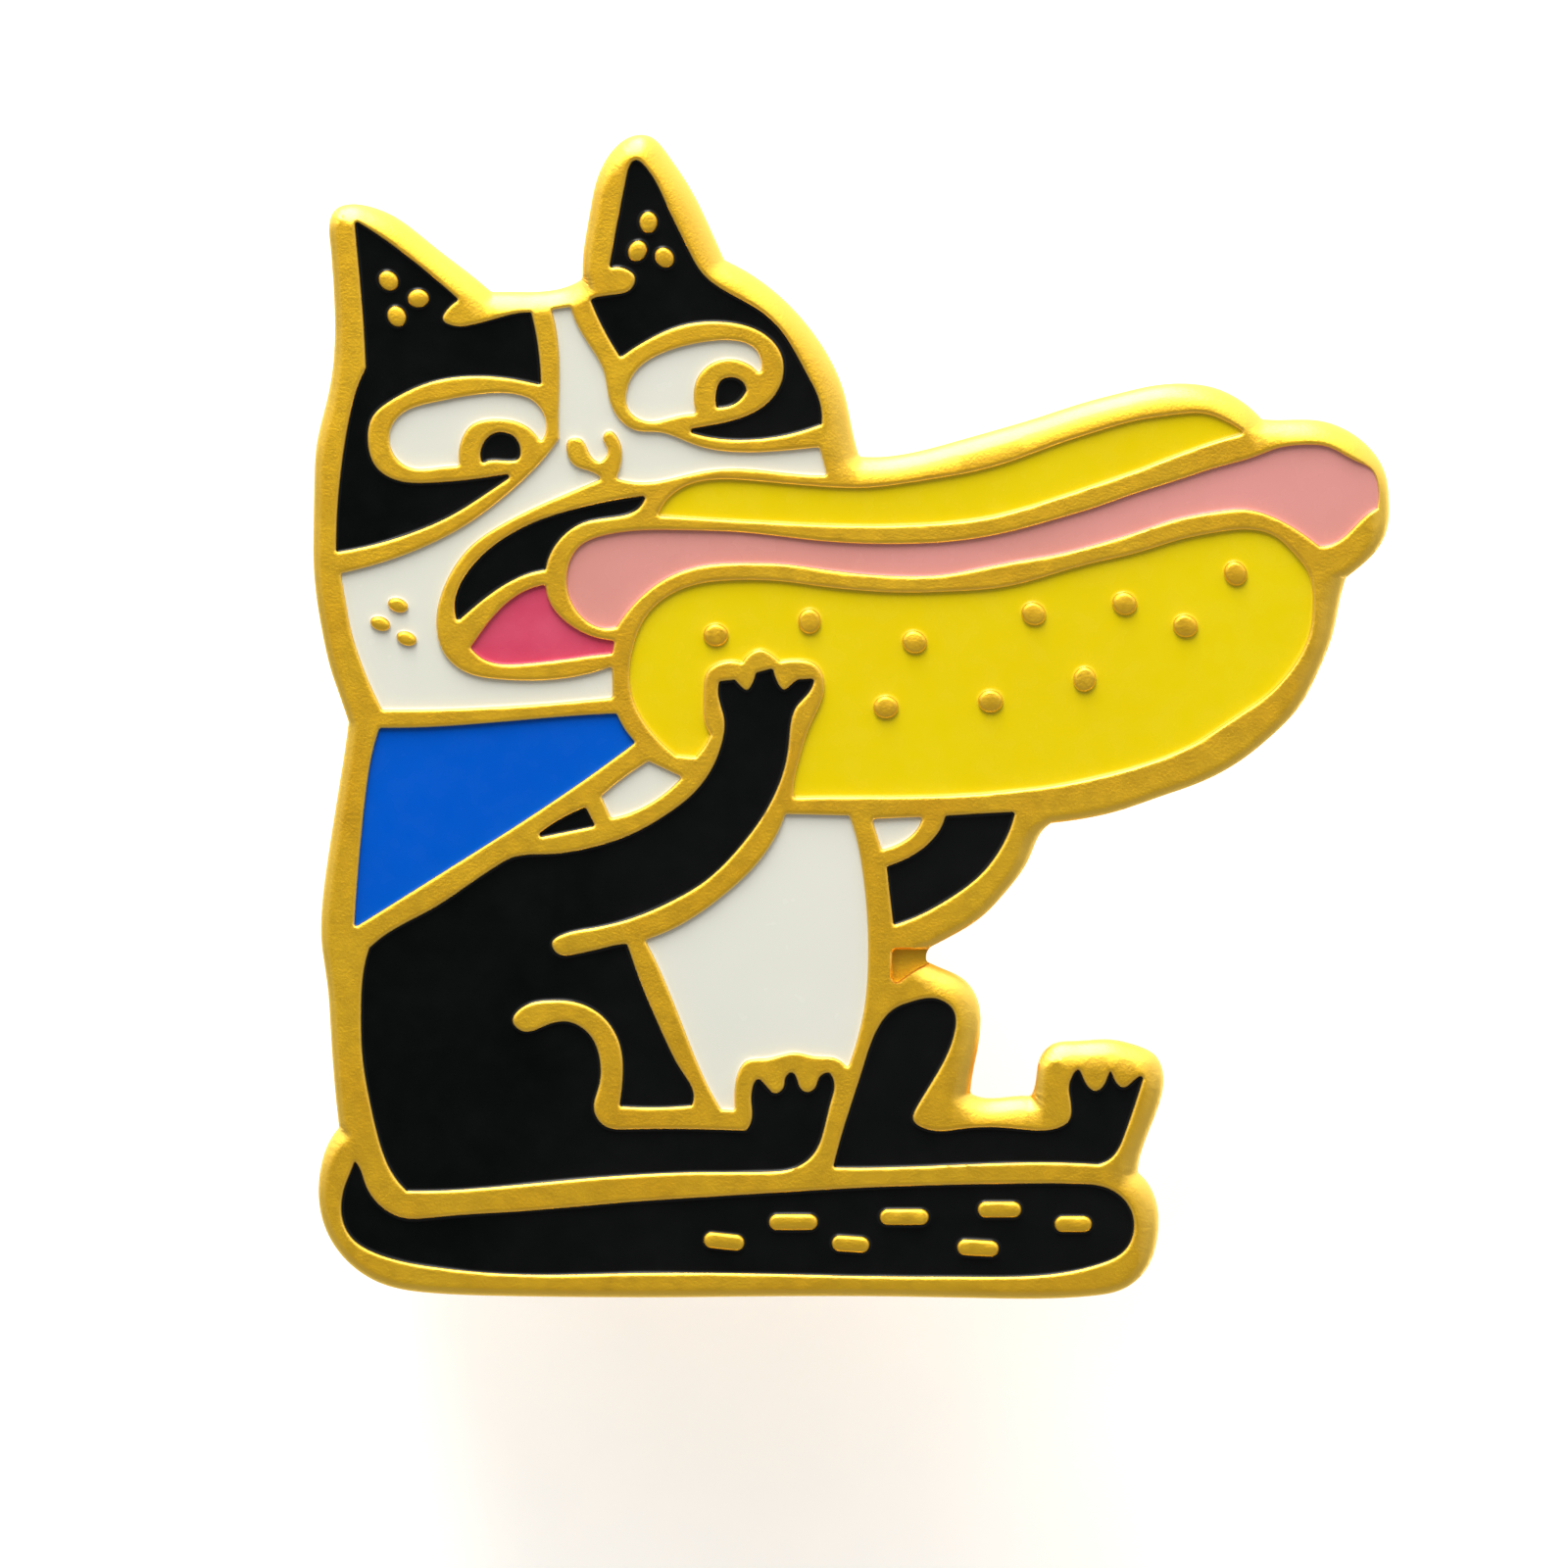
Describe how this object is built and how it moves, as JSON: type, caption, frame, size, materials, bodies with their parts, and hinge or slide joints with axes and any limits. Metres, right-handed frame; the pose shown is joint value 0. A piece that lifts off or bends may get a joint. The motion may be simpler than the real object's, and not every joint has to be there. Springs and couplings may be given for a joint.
{
  "type": "enamel pin",
  "caption": "Flat die-struck enamel pin of a seated cat holding a hot dog, with nail posts and squeeze-to-open butterfly clutches on its back.",
  "frame": {"origin": "on the back face of the pin, midway between the two posts", "axes": "+Z out of the enamelled face, +Y towards the cat's ears, +X towards the end of the hot dog"},
  "size_m": [0.0275, 0.0297, 0.0101],
  "materials": {
    "gold_plating": "satin gold plating over struck metal",
    "black_enamel": "polished enamel",
    "white_enamel": "polished enamel",
    "yellow_enamel": "polished enamel",
    "pink_enamel": "polished enamel",
    "raspberry_enamel": "polished enamel",
    "blue_enamel": "polished enamel",
    "post_metal": "bright drawn wire, gold plated",
    "clutch_brass": "bright stamped sheet",
    "solder": "satin, flowed tin solder under the plating"
  },
  "bodies": {
    "pin": {"struck_base": "gold_plating", "enamel_left_face_patch": "black_enamel", "enamel_right_face_patch": "black_enamel", "enamel_left_pupil": "black_enamel", "enamel_right_pupil": "black_enamel", "enamel_mouth": "black_enamel", "enamel_shoulder_patch": "black_enamel", "enamel_body": "black_enamel", "enamel_far_arm": "black_enamel", "enamel_far_leg": "black_enamel", "enamel_tail": "black_enamel", "enamel_left_eye": "white_enamel", "enamel_right_eye": "white_enamel", "enamel_muzzle": "white_enamel", "enamel_chest_patch": "white_enamel", "enamel_belly": "white_enamel", "enamel_flank_patch": "white_enamel", "enamel_top_bun": "yellow_enamel", "enamel_lower_bun": "yellow_enamel", "enamel_sausage": "pink_enamel", "enamel_tongue": "raspberry_enamel", "enamel_scarf": "blue_enamel", "post_upper": "post_metal", "post_lower": "post_metal", "solder_upper": "solder", "solder_lower": "solder"},
    "clutch_upper": {"clutch_upper_cup": "clutch_brass"},
    "clutch_upper_wing_left": {"clutch_upper_wing_left": "clutch_brass"},
    "clutch_upper_wing_right": {"clutch_upper_wing_right": "clutch_brass"},
    "clutch_lower": {"clutch_lower_cup": "clutch_brass"},
    "clutch_lower_wing_left": {"clutch_lower_wing_left": "clutch_brass"},
    "clutch_lower_wing_right": {"clutch_lower_wing_right": "clutch_brass"}
  },
  "joints": [
    {"name": "clutch_upper_slide", "type": "slide", "parent": "pin", "child": "clutch_upper", "axis": [0, 0, -1], "range_m": [0, 0.008]},
    {"name": "clutch_upper_wing_left_pivot", "type": "hinge", "parent": "clutch_upper", "child": "clutch_upper_wing_left", "pos_m": [-0.0024, 0.00662, -0.00525], "axis": [0, -1, 0], "range_deg": [0, 10], "stiffness_Nm_per_rad": 0.02},
    {"name": "clutch_upper_wing_right_pivot", "type": "hinge", "parent": "clutch_upper", "child": "clutch_upper_wing_right", "pos_m": [0.0024, 0.00662, -0.00525], "axis": [0, 1, 0], "range_deg": [0, 10], "stiffness_Nm_per_rad": 0.02},
    {"name": "clutch_lower_slide", "type": "slide", "parent": "pin", "child": "clutch_lower", "axis": [0, 0, -1], "range_m": [0, 0.008]},
    {"name": "clutch_lower_wing_left_pivot", "type": "hinge", "parent": "clutch_lower", "child": "clutch_lower_wing_left", "pos_m": [-0.0024, -0.00662, -0.00525], "axis": [0, -1, 0], "range_deg": [0, 10], "stiffness_Nm_per_rad": 0.02},
    {"name": "clutch_lower_wing_right_pivot", "type": "hinge", "parent": "clutch_lower", "child": "clutch_lower_wing_right", "pos_m": [0.0024, -0.00662, -0.00525], "axis": [0, 1, 0], "range_deg": [0, 10], "stiffness_Nm_per_rad": 0.02}
  ]
}
